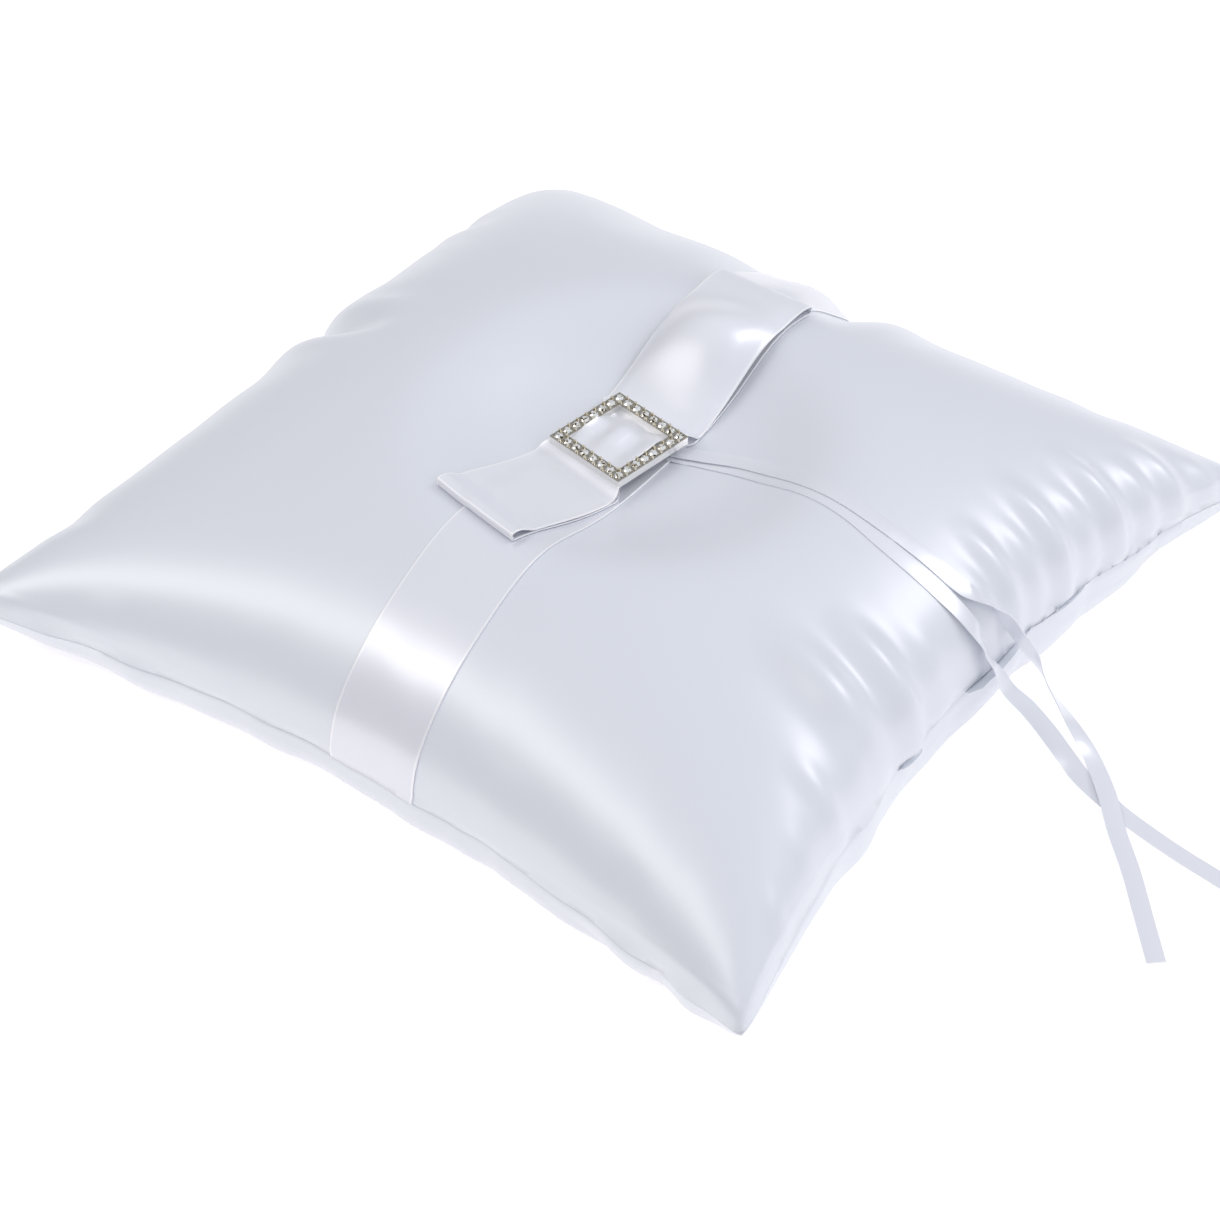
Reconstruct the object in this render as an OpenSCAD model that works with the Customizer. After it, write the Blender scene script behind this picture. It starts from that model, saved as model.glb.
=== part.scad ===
// Ring bearer pillow: a stuffed satin cushion with a seam-to-seam ribbon band, a flat folded bow held by a
// square stone-set slider buckle, and two narrow ribbons that tie the rings on.
// X runs along the near edge, Y along the band, Z up. The origin is the middle of the resting face.

/* [Pillow] */
// Side of the sewn cover, corner to corner
pillow_w = 200; // [190:5:210]
// Height of the crown above the seam
crown_h = 39; // [37.5:0.5:40]
// Depth that the tacked centre is drawn down below the crown
dimple_h = 13; // [12:1:14]
// Height of the perimeter seam above the table, at the corners
seam_h = 10.5; // [10:0.5:11.5]
// How far the gathers draw the middle of the hand-closed edge up above the corners
right_rise = 6; // [4:1:7]
// How far the middle of the near edge pulls in
near_pull = 10; // [7:1:12]
// How far the middle of the far edge pulls in
far_pull = 11; // [7:1:13]
// How far the middle of the gathered, hand-closed edge pulls in
right_pull = 13; // [12:1:15]
// How far the middle of the left edge pulls in
left_pull = 5.5; // [4.5:1:11.5]
// Thickness of the lined satin
satin_t = 0.6; // [0.5:0.1:0.8]

/* [Ribbons] */
// Width of the band sewn into the seams
band_w = 22; // [20:1:24]
// Width of the ribbon folded into the bow
bow_w = 24; // [22:1:26]
// Thickness of the wide ribbons
ribbon_t = 0.4; // [0.3:0.1:0.5]
// Length of the bow's near loop, from the buckle's middle
near_loop = 40; // [36:1:44]
// Length of the bow's far loop, from the buckle's middle
far_loop = 60; // [52:1:62]
// Width of the narrow ring ribbons
tail_w = 4; // [3:0.5:4.5]

/* [Buckle] */
// Distance between neighbouring stones
stone_pitch = 2.6; // [2.5:0.05:2.7]
// Diameter of a stone
stone_d = 2.1; // [1.9:0.05:2.2]
// Width of the buckle's frame
frame_w = 2.8; // [2.7:0.1:3.2]
// Height of the buckle's frame
frame_h = 2; // [1.8:0.1:2.2]
// Turn of the buckle on the band
buckle_turn = 9; // [0:1:12]

/* [Hidden] */

half_w = pillow_w / 2;
profile_power = 2.2;      // how square the crown's profile is
profile_root = 0.48;      // how tightly the profile turns over
side_root = [0.45, 0.37, 0.48, 0.41];  // and at the near, gathered, far and left seams
dimple_spread = 27;       // distance over which the tacked centre is drawn down
back_depth = 36;          // depth of the back panel's bulge, before the table flattens it
cells = 28;               // cells along each side of a panel's grid

// Where the bow and the buckle are tacked on, beside the exact middle.
bow_x = -2;
bow_y = -2;

layer_gap = 0.45;         // clearance between one layer of ribbon and the next
thread_d = 0.5;
thread_gap = 0.2;         // clearance between the thread and the cloth beside it
stitch_len = 2.4;
stitch_pitch = 4;
corner_clear = 0.06;      // share of a side, next to a corner, that is left without stitches
closing_from = 18;        // stretch of the gathered edge that is closed by hand
closing_to = 72;
closing_pitch = 3;
closing_slant = 35;
tack_gauge = 3;           // distance between the two strands of the tack
knot_d = 2.4;
channel_d = 6;            // channel that the tack pulls open in the fill

band_cols = 4;            // cells across the band
near_lean = 0.25;         // sideways lean of the near loop, per unit of length
far_lean = 0.03;
fold_h = 2.6;             // distance between the two layers of a loop
sole_low = 1.8;           // height of the bow's lower layer over the panel, at the buckle
sole_high = 2.6;          // and along the loops
pinch_w = 12;             // width of the bow inside the buckle
pinch_from = 6;           // the bow widens again between these distances from the buckle's middle
pinch_to = 15;
narrow_from = 20;         // stretch on either side of the buckle that has closely spaced stations
bow_end = 2;              // the ribbon's two ends stop this far from the middle, under the buckle
bow_steps = 8;
bar_w = 2.4;
bar_h = 1;

stones_a_side = 7;        // pitches along one side, corner to corner
stone_span = stones_a_side * stone_pitch;
frame_reach = (stone_span + frame_w) / 2 * (cos(buckle_turn) + sin(buckle_turn));
crown_share = 0.6;        // width of a stone's table, as a share of the stone
stone_crown = 0.4;
stone_point = 0.8;
pocket_d = stone_d + 0.1;
pocket_h = 0.9;
claw_d = 0.6;
claw_h = 0.45;

tail_t = 0.6;             // thickness of a ring ribbon's solid
tail_sides = 8;

// Route of each ring ribbon: over the cushion, down its gathered edge and out over the table.
UPPER_ROUTE = [
    [7, 5, 39.2], [13, 7.5, 38.4], [22, 10, 39.3], [32, 9.5, 42.2], [43, 8, 45.7], [57, 7, 45],
    [68.5, 7, 41.5], [80, 7.5, 36.2], [85.5, 10.5, 31.5], [88.5, 14, 24.5], [93, 16.5, 16.5], [98, 16, 10.5],
    [104, 15, 5.5], [111, 12, 2.2], [119.5, 4.5, 1.6], [126, -2.5, 0.6], [134, -10.5, 0.4],
    [142, -19.5, 0.4], [150, -28.5, 0.4]
];
LOWER_ROUTE = [
    [7, 4, 38.4], [14, 6.5, 37.6], [23, 8, 38.6], [34, 7, 41.9], [45.5, 5.5, 44.7], [53.5, 4.5, 44.4],
    [62.5, 3, 42.4], [70, 2.5, 40.1], [78.5, 2.5, 36.3], [85.5, 3, 31], [88, 4.5, 24.5], [90.5, 6.5, 18],
    [93, 7.5, 13.5], [97, 9, 9.5], [102, 9.5, 5], [108, 8, 1.8], [114, 5.5, 0.6], [122, 3, 0.4],
    [131, 1, 0.4], [140, -0.5, 0.4], [149, -1.5, 0.4], [157, -2.5, 0.4], [165, -3, 0.4]
];

// ---- shape of the cushion ----

// Half widths of the plan. Each side bows in towards its middle, where the other coordinate is 0.
function half_x(u, v, inset) = half_w - inset - (u > 0 ? right_pull : left_pull) * (1 - v * v);
function half_y(u, v, inset) = half_w - inset - (v > 0 ? far_pull : near_pull) * (1 - u * u);

// Height of the surface that the seam lies in. It rises only close to the gathered edge.
function seam_z(u, v) = seam_h + (u > 0 ? right_rise * pow(u, 4) * (1 - v * v) : 0);

// Height of the cushion's section, from 1 in the middle to 0 at the seam.
function profile(t, root) =
    pow(max(1 - pow(abs(t), profile_power), 0), profile_root + (root - profile_root) * t * t);
function loft(u, v) = profile(u, side_root[u > 0 ? 1 : 3]) * profile(v, side_root[v > 0 ? 2 : 0]);

// The dimple has a flat bottom, where the buckle presses on the cushion.
function crown_at(x, y) =
    let (far = (x * x + y * y) / (2 * dimple_spread * dimple_spread))
    crown_h - dimple_h * exp(-far * far);

// One point of the upper surface, or of a surface parallel to it. u and v run from -1 to 1.
function top_point(u, v, inset) =
    let (x = u * half_x(u, v, inset), y = v * half_y(u, v, inset))
    [x, y, seam_z(u, v) + (crown_at(x, y) - inset) * loft(u, v)];

// One point of the lower surface, which the table presses flat at the height lowest.
function back_point(u, v, inset, lowest) =
    [u * half_x(u, v, inset), v * half_y(u, v, inset),
     max(seam_z(u, v) - (back_depth - inset) * loft(u, v), lowest)];

// Height of the upper surface over a place on the plan.
function top_z(x, y) =
    let (u = x / half_x(x, y / half_w, 0), v = y / half_y(u, y, 0))
    seam_z(u, v) + crown_at(x, y) * loft(u, v);

// Grid positions from -1 to 1, closer together near the edges, where the surface is steep.
function spread(i) = sin(180 * i / cells - 90);

// ---- closed solids between two grids of points ----

function grid_faces(rows, cols, first, flip) = [
    for (i = [0 : rows - 1], j = [0 : cols - 1])
        let (a = first + i * (cols + 1) + j, b = a + cols + 1)
        each flip ? [[a, b, b + 1], [a, b + 1, a + 1]] : [[a, b + 1, b], [a, a + 1, b + 1]]
];

// Numbers of the points around the edge of a grid, in order.
function rim(rows, cols, first) = concat(
    [for (i = [0 : rows - 1]) first + i * (cols + 1)],
    [for (j = [0 : cols - 1]) first + rows * (cols + 1) + j],
    [for (i = [rows : -1 : 1]) first + i * (cols + 1) + cols],
    [for (j = [cols : -1 : 1]) first + j]
);

function rim_faces(a, b) = [
    for (k = [0 : len(a) - 1])
        let (m = (k + 1) % len(a))
        each [[a[k], a[m], b[m]], [a[k], b[m], b[k]]]
];

module between(upper, lower, rows, cols) {
    count = (rows + 1) * (cols + 1);
    polyhedron(
        points = concat(upper, lower),
        faces = concat(
            grid_faces(rows, cols, 0, false),
            grid_faces(rows, cols, count, true),
            rim_faces(rim(rows, cols, 0), rim(rows, cols, count))
        )
    );
}

function top_grid(inset, lift = 0) = [
    for (i = [0 : cells], j = [0 : cells]) top_point(spread(i), spread(j), inset) + [0, 0, lift]
];

function back_grid(inset, lowest, lift = 0) = [
    for (i = [0 : cells], j = [0 : cells]) back_point(spread(i), spread(j), inset, lowest) + [0, 0, lift]
];

// ---- cover, fill and threads ----

module top_panel() {
    color("ghostwhite")
        between(top_grid(0), top_grid(satin_t), cells, cells);
}

module back_panel() {
    color("whitesmoke")
        between(back_grid(satin_t, satin_t), back_grid(0, 0), cells, cells);
}

module fibre_fill() {
    inset = satin_t + thread_d + 2 * thread_gap;
    color("white")
        difference() {
            between(top_grid(inset, thread_gap), back_grid(inset, inset, -thread_gap), cells, cells);
            translate([bow_x, bow_y, -1])
                cylinder(h = pillow_w, d = channel_d, $fn = 24);
        }
}

// A point on the outline of the plan. side counts anticlockwise from the near edge, t runs along it.
function edge_point(side, t, inset) =
    side == 0 ? [t * half_x(t, -1, inset), -half_y(t, -1, inset), seam_h] :
    side == 1 ? [half_x(1, t, inset), t * half_y(1, t, inset), seam_z(1, t)] :
    side == 2 ? [-t * half_x(-t, 1, inset), half_y(-t, 1, inset), seam_h] :
    [-half_x(-1, -t, inset), -t * half_y(-1, -t, inset), seam_h];

// A stitch that lies along the edge, turned out of the level by slant.
module stitch(side, t, inset, slant) {
    here = edge_point(side, t, inset);
    ahead = edge_point(side, t + 0.01, inset) - here;
    translate(here)
        rotate([0, 0, atan2(ahead[1], ahead[0])])
            rotate([0, 90 - slant, 0])
                cylinder(h = stitch_len, d = thread_d, center = true, $fn = 8);
}

module seam_thread() {
    inset = satin_t + thread_gap + thread_d / 2;
    reach = 1 - corner_clear;
    step = stitch_pitch / half_w;
    color("white")
        for (side = [0 : 3], t = [-reach : step : reach])
            stitch(side, t, inset, 0);
}

module closing_stitches() {
    outside = -(thread_d + thread_gap) / 2;
    color("white")
        for (y = [closing_from : closing_pitch : closing_to])
            stitch(1, y / half_w, outside, 90 - closing_slant);
}

// Two strands that draw the middle of the cushion down, knotted inside the back panel.
module tack_thread() {
    knot_z = satin_t + knot_d / 2 + thread_gap;
    color("white")
        union() {
            translate([bow_x, bow_y, knot_z])
                sphere(d = knot_d, $fn = 24);
            for (side = [-1, 1]) {
                x = bow_x + side * tack_gauge / 2;
                top = top_z(x, bow_y) - satin_t - thread_gap;
                translate([x, bow_y, knot_z])
                    cylinder(h = top - knot_z, d = thread_d, $fn = 16);
            }
            translate([bow_x, bow_y, knot_z])
                rotate([0, 90, 0])
                    cylinder(h = tack_gauge, d = thread_d, center = true, $fn = 16);
        }
}

// ---- wide ribbons ----

// A surface that follows the cushion from seam to seam, at a distance off outside it.
function band_grid(off) = [
    for (i = [0 : cells], j = [0 : band_cols])
        let (v = spread(i), x = bow_x + band_w * (j / band_cols - 0.5))
        top_point(x / half_x(x, v, 0), v, -off)
];

module centre_band() {
    color("white")
        between(band_grid(layer_gap), band_grid(layer_gap + ribbon_t), cells, band_cols);
}

frame_z = top_z(bow_x, bow_y) + sole_low + 1.5 * ribbon_t + 2 * layer_gap;

// Share of the way from a to b that t has come, eased at both ends.
function ease(t, a, b) =
    let (s = min(max((t - a) / (b - a), 0), 1))
    s * s * (3 - 2 * s);

// Places along the bow are measured along Y from the buckle's middle.
function bow_half(s) = (pinch_w + (bow_w - pinch_w) * ease(abs(s), pinch_from, pinch_to)) / 2;
function bow_centre(s) = bow_x + (s < 0 ? near_lean : far_lean) * -abs(s);
function sole_z(s) =
    top_z(bow_centre(s), bow_y + s) + sole_low + (sole_high - sole_low) * ease(abs(s), frame_reach, narrow_from);

// The upper layer passes over the buckle's bar, under its frame and out along the loop.
function upper_z(s) =
    let (over_bar = frame_z + bar_h + ribbon_t, under_frame = frame_z - layer_gap - ribbon_t / 2)
    let (inside = over_bar + (under_frame - over_bar) * ease(abs(s), bar_w / 2 + 1, pinch_from))
    inside + (sole_z(s) + fold_h - inside) * ease(abs(s), frame_reach, narrow_from);

function bow_station(s, z) = [bow_centre(s), bow_y + s, z, bow_half(s)];
function sole_station(s) = bow_station(s, sole_z(s));
function upper_station(s) = bow_station(s, upper_z(s));

// The round turn at the end of a loop, upwards for a positive step and downwards for a negative one.
function bow_fold(s, step) = [
    for (k = [1 : 3])
        let (turn = step > 0 ? k * step : 180 + k * step)
        bow_station(s + sign(s) * sin(turn) * fold_h / 2, sole_z(s) + fold_h / 2 * (1 - cos(turn)))
];

// The whole ribbon: out along the far loop's lower layer, back over the buckle's bar, round the near loop.
function bow_path() = concat(
    [for (k = [0 : bow_steps]) sole_station(bow_end + (far_loop - bow_end) * k / bow_steps)],
    bow_fold(far_loop, 45),
    [for (k = [0 : bow_steps]) upper_station(far_loop + (narrow_from - far_loop) * k / bow_steps)],
    [for (k = [1 : 2 * bow_steps - 1]) upper_station(narrow_from * (1 - k / bow_steps))],
    [for (k = [0 : bow_steps]) upper_station(-narrow_from - (near_loop - narrow_from) * k / bow_steps)],
    bow_fold(-near_loop, -45),
    [for (k = [bow_steps : -1 : 0]) sole_station(-bow_end - (near_loop - bow_end) * k / bow_steps)]
);

// Direction across the ribbon's thickness at one station of its path.
function across(path, i) =
    let (a = path[max(i - 1, 0)], b = path[min(i + 1, len(path) - 1)])
    let (run = [b[1] - a[1], b[2] - a[2]])
    [0, -run[1], run[0]] / norm(run);

function strip_side(path, off) = [
    for (i = [0 : len(path) - 1], side = [-1, 1])
        let (p = path[i])
        [p[0] + side * p[3], p[1], p[2]] + off * across(path, i)
];

module bow_ribbon() {
    path = bow_path();
    color("white")
        between(strip_side(path, -ribbon_t / 2), strip_side(path, ribbon_t / 2), len(path) - 1, 1);
}

// ---- buckle ----

module at_buckle() {
    translate([bow_x, bow_y, frame_z])
        rotate([0, 0, -buckle_turn])
            children();
}

// Copies children round the frame, at offsets along each side counted in pitches.
module round_frame(first) {
    for (side = [0 : 3], i = [0 : stones_a_side - 1])
        rotate([0, 0, 90 * side])
            translate([(i + first) * stone_pitch - stone_span / 2, -stone_span / 2, frame_h])
                children();
}

module square_plate(size, height) {
    translate([-size / 2, -size / 2, 0])
        cube([size, size, height]);
}

module buckle_frame() {
    window = stone_span - frame_w;
    claw_off = (frame_w - claw_d) / 2;
    color("silver")
        at_buckle()
            difference() {
                union() {
                    difference() {
                        square_plate(stone_span + frame_w, frame_h);
                        translate([0, 0, -1])
                            square_plate(window, frame_h + 2);
                    }
                    translate([-window / 2 - 0.5, -bar_w / 2, 0])
                        cube([window + 1, bar_w, bar_h]);
                    for (side = [-1, 1])
                        round_frame(0.5)
                            translate([0, side * claw_off, -0.1])
                                cylinder(h = claw_h + 0.1, d = claw_d, $fn = 12);
                }
                round_frame(0)
                    translate([0, 0, -pocket_h])
                        cylinder(h = pocket_h + 1, d = pocket_d, $fn = 24);
            }
}

module rhinestones() {
    color("lightcyan")
        at_buckle()
            round_frame(0) {
                cylinder(h = stone_crown, d1 = stone_d, d2 = stone_d * crown_share, $fn = 8);
                translate([0, 0, -stone_point])
                    cylinder(h = stone_point, d1 = 0.1, d2 = stone_d, $fn = 8);
            }
}

// ---- ring ribbons ----

// Points of the flat, rounded section of a ribbon at one place on its route.
function tail_section(route, i) =
    let (a = route[max(i - 1, 0)], b = route[min(i + 1, len(route) - 1)])
    let (run = (b - a) / norm(b - a), flat = norm([run[0], run[1]]))
    let (wide = [-run[1], run[0], 0] / flat, thick = cross(run, wide))
    [for (k = [0 : tail_sides - 1])
        let (turn = 360 * (k + 0.5) / tail_sides)
        route[i] + wide * cos(turn) * tail_w / 2 + thick * sin(turn) * tail_t / 2];

module tail(route) {
    rings = len(route);
    polyhedron(
        points = [for (i = [0 : rings - 1]) each tail_section(route, i)],
        faces = concat(
            [[for (k = [0 : tail_sides - 1]) k]],
            [[for (k = [tail_sides - 1 : -1 : 0]) (rings - 1) * tail_sides + k]],
            [for (i = [0 : rings - 2], k = [0 : tail_sides - 1])
                let (m = (k + 1) % tail_sides, a = i * tail_sides, b = a + tail_sides)
                each [[a + k, b + m, a + m], [a + k, b + k, b + m]]]
        )
    );
}

module ring_ribbon_upper() {
    color("white") tail(UPPER_ROUTE);
}

module ring_ribbon_lower() {
    color("white") tail(LOWER_ROUTE);
}

top_panel();
back_panel();
fibre_fill();
seam_thread();
closing_stitches();
tack_thread();
centre_band();
bow_ribbon();
buckle_frame();
rhinestones();
ring_ribbon_upper();
ring_ribbon_lower();
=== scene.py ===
"""Looks of a ring bearer pillow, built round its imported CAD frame. Lengths in metres, angles in degrees.

X runs along the near edge, Y along the ribbon band, Z up. The cover's wrinkles come from a cloth
simulation of the sewn cover; everything that is sewn or laid on it follows the wrinkled surface.
"""

import math

import bpy
import numpy as np
from mathutils import Matrix, Vector
from mathutils.bvhtree import BVHTree


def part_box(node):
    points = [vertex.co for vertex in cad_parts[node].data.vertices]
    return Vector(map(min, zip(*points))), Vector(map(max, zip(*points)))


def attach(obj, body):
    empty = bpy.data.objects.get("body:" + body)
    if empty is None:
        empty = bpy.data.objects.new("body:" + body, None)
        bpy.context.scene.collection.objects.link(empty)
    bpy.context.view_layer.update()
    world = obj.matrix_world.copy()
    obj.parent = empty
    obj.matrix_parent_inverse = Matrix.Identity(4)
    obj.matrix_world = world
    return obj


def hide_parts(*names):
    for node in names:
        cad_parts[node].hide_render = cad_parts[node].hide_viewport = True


MM = 0.001
BODY = "root"

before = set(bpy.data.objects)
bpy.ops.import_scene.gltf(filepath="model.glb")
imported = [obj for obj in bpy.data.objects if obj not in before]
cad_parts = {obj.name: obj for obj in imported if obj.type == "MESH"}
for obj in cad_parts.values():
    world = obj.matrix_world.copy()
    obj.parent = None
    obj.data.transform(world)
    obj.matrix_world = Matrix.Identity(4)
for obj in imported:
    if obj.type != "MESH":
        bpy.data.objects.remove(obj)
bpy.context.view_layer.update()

# ---- sizes, from the frame or beside it ----

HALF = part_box("top_panel")[1].x
SEAM_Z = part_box("top_panel")[0].z
BUCKLE_LOW, BUCKLE_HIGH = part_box("buckle_frame")
BUCKLE = (BUCKLE_LOW + BUCKLE_HIGH) / 2
BUCKLE_TURN = -9
BAND_X = -2.6 * MM           # the band's centre line, in the middle of the cushion
BAND_HALF = 11 * MM
BOW_HALF = 12 * MM
TAIL_HALF = 2 * MM

CROWN = 39 * MM
DIMPLE = 13 * MM
DIMPLE_SPREAD = 27 * MM
BACK_DEPTH = 42 * MM
PROFILE_POWER = 2.2
PROFILE_ROOT = 0.48
CUT_HALF = 107 * MM          # half the side of the square that each panel is cut to, between its seams

# How far each side's middle draws in, how tightly the cover turns over there, and how far its seam rises.
SIDES = {
    "near": {"pull": 10.5 * MM, "root": 0.45},
    "right": {"pull": 13 * MM, "root": 0.37, "rise": 6 * MM},
    "far": {"pull": 12 * MM, "root": 0.48},
    "left": {"pull": 5.5 * MM, "root": 0.41, "rise": 0},
}

# How far each corner pokes out of the square in X and in Y, and its rise. The far left one is tucked in.
CORNERS = {
    (-1, -1): (5 * MM, 1.2 * MM),
    (1, -1): (0.5 * MM, -0.5 * MM),
    (1, 1): (2 * MM, -1 * MM),
    (-1, 1): (-4.5 * MM, -3 * MM),
}
CORNER_BLUNT = 1.6 * MM      # how far the very tip of each corner is drawn back
LEFT_BULGE = 2.7 * MM        # how far the cover stands out over its left seam

# The cover's cloth and its edge that is turned in at the seam: how far in each row of the edge lies, and
# how far open the seam is there, as a share of its mouth.
CLOTH = 0.3 * MM
SEAM_MOUTH = 0.21 * MM       # from the seam to the middle of each panel's cloth
LIP = np.array([2.2, 0.9, 0.2]) * MM
LIP_OPEN = np.array([0.1, 0.25, 0.6])
LIPS = len(LIP)
COVER_CELLS = 96             # cells of simulated cloth along each side of a panel

# Columns of a wide ribbon, as shares of its half width, and its thickness there: each selvedge is a bead.
BEAD = np.array([0.955, 0.968, 0.98, 0.992, 1.0])
BEAD_THICK = np.array([0.30, 0.34, 0.36, 0.34, 0.2]) * MM
INNER = np.linspace(-0.9, 0.9, 13)
INNER_THICK = np.full(len(INNER), 0.3 * MM)
WIDE_SHARES = np.concatenate([-BEAD[::-1], INNER, BEAD])
WIDE_THICK = np.concatenate([BEAD_THICK[::-1], INNER_THICK, BEAD_THICK])
BAND_GAP = 0.06 * MM         # from the cover's cloth to the band
TAIL_THICK = 0.2 * MM
TAIL_SPACING = 0.8 * MM
EDGE_X = 84 * MM             # where the ring ribbons leave the top of the cushion

# The bow's two loops: direction, turned from the Y axis, and length from the buckle's middle; the hump of
# the top layer, its place, how that leans over the width, and its spread; a dent beside the buckle; and
# the stretch over which the layers part before the fold.
FAR_LOOP = {"turn": 2.7, "length": 60 * MM, "hump": 8.5 * MM, "hump_at": 33 * MM, "lean": 2 * MM,
            "spread": 12.5 * MM, "dent": 1 * MM, "parting": 14 * MM}
NEAR_LOOP = {"turn": -10.8, "length": 41 * MM, "hump": 0.9 * MM, "hump_at": 24 * MM, "lean": 0,
             "spread": 10 * MM, "dent": 0, "parting": 7 * MM}
FOLD_RADIUS = 1.0 * MM
FOLD_CREASE = 0.4 * MM       # depth of the crease along the outside of a fold
LAYER = 0.45 * MM            # from the middle of one layer of the ribbon to the next where they touch
BAR_TOP = BUCKLE_LOW.z + 1.0 * MM
STONE_SEAT = BUCKLE_LOW.z + 2.0 * MM

# Route of each ring ribbon in millimetres: over the cushion, down its gathered edge and out on the table.
UPPER_ROUTE = [
    (7, 5, 39.2), (13, 7.5, 38.4), (22, 10, 39.3), (32, 9.5, 42.2), (43, 8, 45.7), (57, 7, 45),
    (68.5, 7, 41.5), (80, 7.5, 36.2), (85.5, 10.5, 31.5), (88.5, 14, 24.5), (93, 16.5, 16.5),
    (98, 16, 10.5), (104, 15, 5.5), (111, 12, 2.2), (119.5, 4.5, 1.6), (126, -2.5, 0.6), (134, -10.5, 0.4),
    (142, -19.5, 0.4), (150, -28.5, 0.4),
]
LOWER_ROUTE = [
    (7, 4, 38.4), (14, 6.5, 37.6), (23, 8, 38.6), (34, 7, 41.9), (45.5, 5.5, 44.7), (53.5, 4.5, 44.4),
    (62.5, 3, 42.4), (70, 2.5, 40.1), (78.5, 2.5, 36.3), (85.5, 3, 31), (88, 4.5, 24.5), (90.5, 6.5, 18),
    (93, 7.5, 13.5), (97, 9, 9.5), (102, 9.5, 5), (108, 8, 1.8), (114, 5.5, 0.6), (122, 3, 0.4),
    (131, 1, 0.4), (140, -0.5, 0.4), (149, -1.5, 0.4), (157, -2.5, 0.4), (165, -3, 0.4),
]

# Twist of each ring ribbon out of the level, in degrees, at shares of its length.
UPPER_TWIST = [(0, 0), (0.42, 0), (0.5, -55), (0.56, -70), (0.66, -20), (0.75, 0), (1, 0)]
LOWER_TWIST = [(0, 0), (0.52, 0), (0.6, 25), (0.68, 25), (0.78, 0), (1, 0)]


# ---- small tools ----

def ease(t, start, end):
    """Share of the way from start to end that t has come, eased at both ends."""
    share = np.clip((t - start) / (end - start), 0, 1)
    return share * share * (3 - 2 * share)


def bump(t, middle, width):
    """A smooth hump of height 1 at its middle."""
    return np.exp(-((t - middle) / width) ** 2)


def unit(vectors):
    """The same directions, each of length 1."""
    return vectors / np.maximum(np.linalg.norm(vectors, axis=-1, keepdims=True), 1e-12)


def grid_normals(points):
    """The direction out of a grid of points at each of them."""
    return unit(np.cross(np.gradient(points, axis=0), np.gradient(points, axis=1)))


def finer(points):
    """The grid with a point added between every two, on the smooth curve through four neighbours."""
    for _ in range(2):
        before = 2 * points[:1] - points[1:2]
        after = 2 * points[-1:] - points[-2:-1]
        padded = np.concatenate([before, points, after])
        middles = (9 * (padded[1:-2] + padded[2:-1]) - padded[:-3] - padded[3:]) / 16
        out = np.empty((2 * len(points) - 1,) + points.shape[1:])
        out[::2] = points
        out[1::2] = middles
        points = np.swapaxes(out, 0, 1)
    return points


def smoothed(points, cells):
    """The grid blurred over about that many cells, with its border held in place."""
    offsets = np.arange(-3 * cells, 3 * cells + 1)
    weights = np.exp(-0.5 * (offsets / cells) ** 2)
    weights /= weights.sum()
    for _ in range(2):
        first, last = points[:1], points[-1:]
        pad = 3 * cells
        padded = np.concatenate([2 * first - points[pad:0:-1], points, 2 * last - points[-2:-pad - 2:-1]])
        blurred = sum(w * padded[pad + o:pad + o + len(points)] for w, o in zip(weights, offsets))
        points = np.swapaxes(blurred, 0, 1)
    return points


def along_route(route, spacing):
    """Points at even spacing on the smooth curve through a route's points, which are in millimetres."""
    knots = np.array(route, float) * MM
    padded = np.concatenate([2 * knots[:1] - knots[1:2], knots, 2 * knots[-1:] - knots[-2:-1]])
    steps = np.linspace(0, 1, 24, endpoint=False)[:, None]
    pieces = []
    for a, b, c, d in zip(padded, padded[1:], padded[2:], padded[3:]):
        pieces.append(0.5 * (2 * b + (c - a) * steps + (2 * a - 5 * b + 4 * c - d) * steps**2
                             + (3 * b - a - 3 * c + d) * steps**3))
    line = np.concatenate(pieces + [knots[-1:]])
    reach = path_reach(line)
    return at_reach(line, reach, np.linspace(0, reach[-1], round(reach[-1] / spacing)))


def path_reach(line):
    """Distance along a line to each of its points."""
    return np.concatenate([[0], np.cumsum(np.linalg.norm(np.diff(line, axis=0), axis=1))])


def new_object(name, verts, faces, material, uvs=None, smooth=True):
    """A mesh object of one material. uvs gives the place of each point on the flat cloth."""
    mesh = bpy.data.meshes.new(name)
    mesh.from_pydata(np.asarray(verts).tolist(), [], [list(map(int, f)) for f in faces])
    if uvs is not None:
        layer = mesh.uv_layers.new(name="cloth")
        corners = np.empty(len(mesh.loops), np.int32)
        mesh.loops.foreach_get("vertex_index", corners)
        layer.data.foreach_set("uv", np.asarray(uvs, np.float32)[corners].ravel())
    if smooth:
        mesh.shade_smooth()
    mesh.materials.append(material)
    made = bpy.data.objects.new(name, mesh)
    bpy.context.scene.collection.objects.link(made)
    return made


def grid_faces(rows, cols, first=0, flip=False):
    """The four-sided faces of a grid whose points are numbered from first."""
    corner = first + np.arange(rows - 1)[:, None] * cols + np.arange(cols - 1)[None, :]
    quads = np.stack([corner, corner + cols, corner + cols + 1, corner + 1], axis=-1).reshape(-1, 4)
    return quads[:, ::-1] if flip else quads


def grid_rim(rows, cols):
    """Numbers of the points round a grid's border, in order."""
    number = np.arange(rows * cols).reshape(rows, cols)
    return np.concatenate([number[:-1, 0], number[-1, :-1], number[:0:-1, -1], number[0, :0:-1]])


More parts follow.
